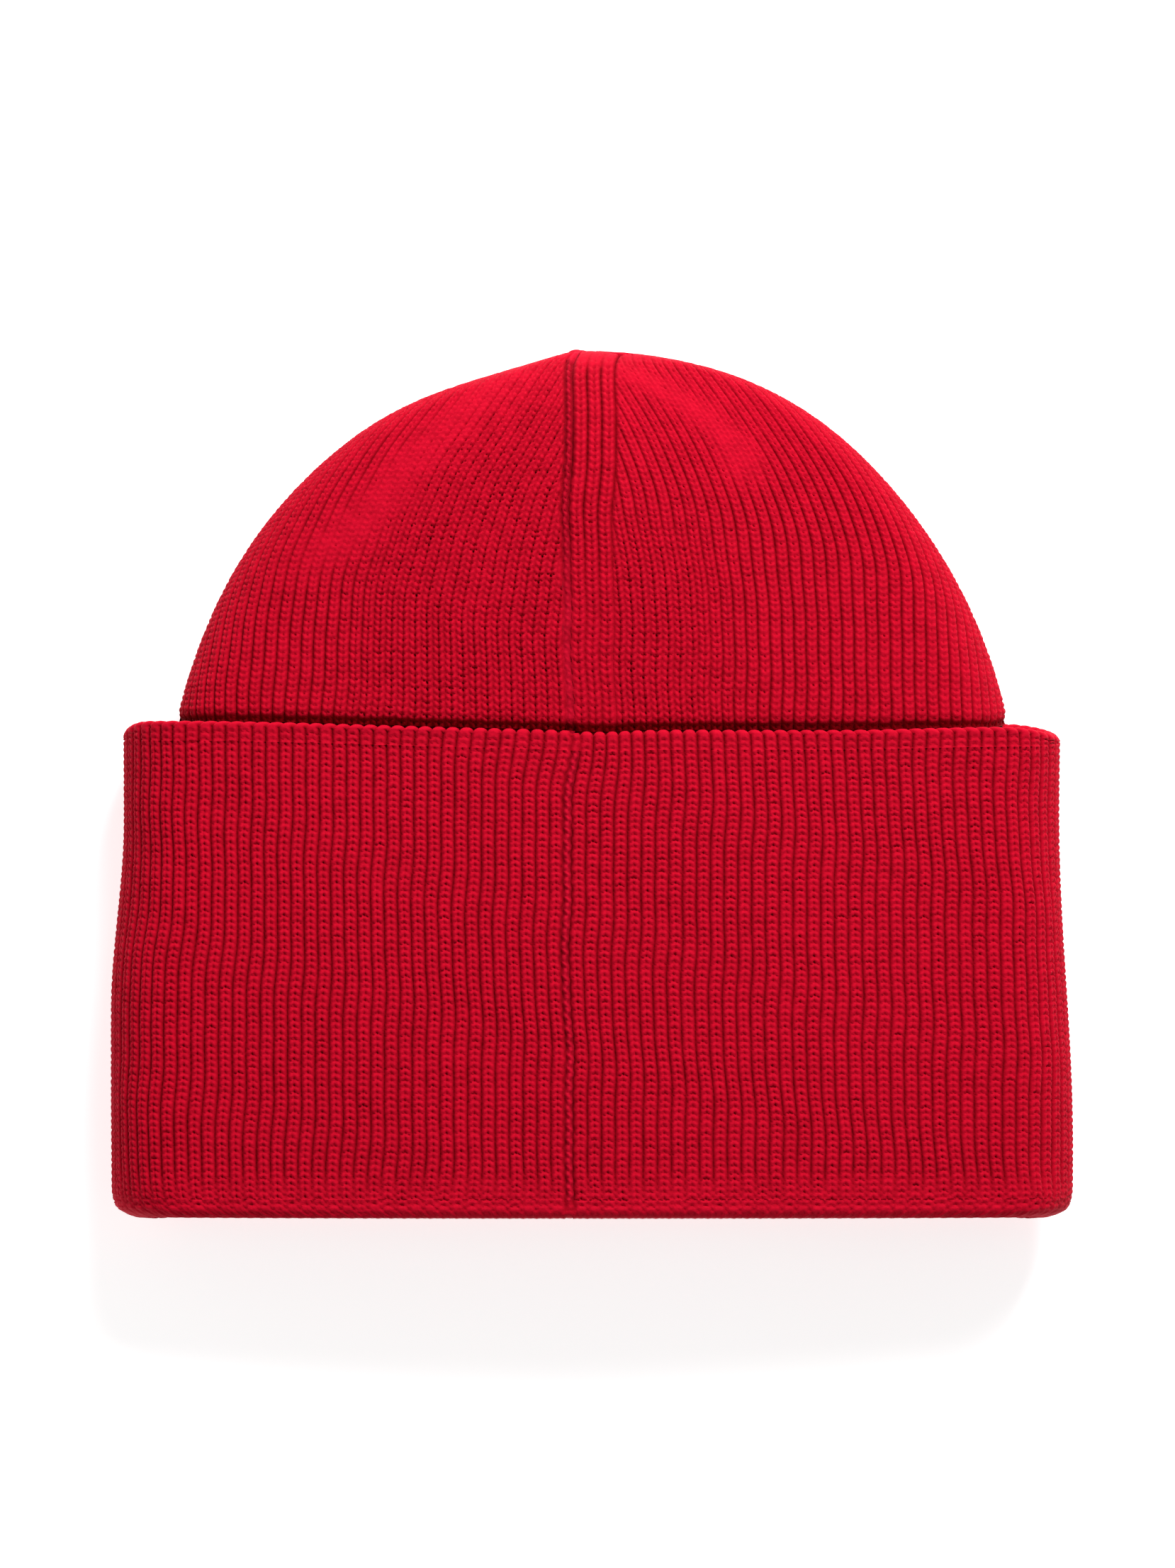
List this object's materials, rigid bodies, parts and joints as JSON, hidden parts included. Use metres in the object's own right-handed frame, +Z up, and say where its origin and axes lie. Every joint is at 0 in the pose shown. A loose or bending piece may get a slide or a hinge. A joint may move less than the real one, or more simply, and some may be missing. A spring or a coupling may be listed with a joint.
{
  "type": "ribbed knit beanie",
  "caption": "Ribbed knit beanie with a deep turned-up cuff and a centre-back seam, laid flat on its front.",
  "frame": {"origin": "on the surface the hat lies on, under the middle of its box", "axes": "+X across the hat, +Y from the mouth to the crown's tip, +Z up out of the back face"},
  "size_m": [0.2398, 0.218, 0.042],
  "materials": {
    "knit": "matte wool rib, saturated crimson red",
    "seam_yarn": "matte crimson linking yarn",
    "label_tape": "plain off-white woven satin tape, blank",
    "label_thread": "red sewing thread"
  },
  "bodies": {
    "hat_body": {"crown_back_left": "knit", "crown_back_right": "knit", "crown_seam_yarn": "seam_yarn", "crown_front": "knit", "band_back_left": "knit", "band_back_right": "knit", "band_seam_yarn": "seam_yarn", "band_front": "knit", "band_selvedge": "knit", "crown_selvedge": "knit", "care_label": "label_tape", "care_label_stitches": "label_thread", "crown_tip_stitch": "seam_yarn"},
    "cuff": {"cuff_back_left": "knit", "cuff_back_right": "knit", "cuff_seam_yarn": "seam_yarn", "cuff_front": "knit", "cuff_top_welt": "knit", "cuff_fold": "knit"}
  },
  "joints": [
    {"name": "cuff_turn_down", "type": "slide", "parent": "hat_body", "child": "cuff", "axis": [0, -1, 0], "range_m": [0, 0.112]}
  ]
}
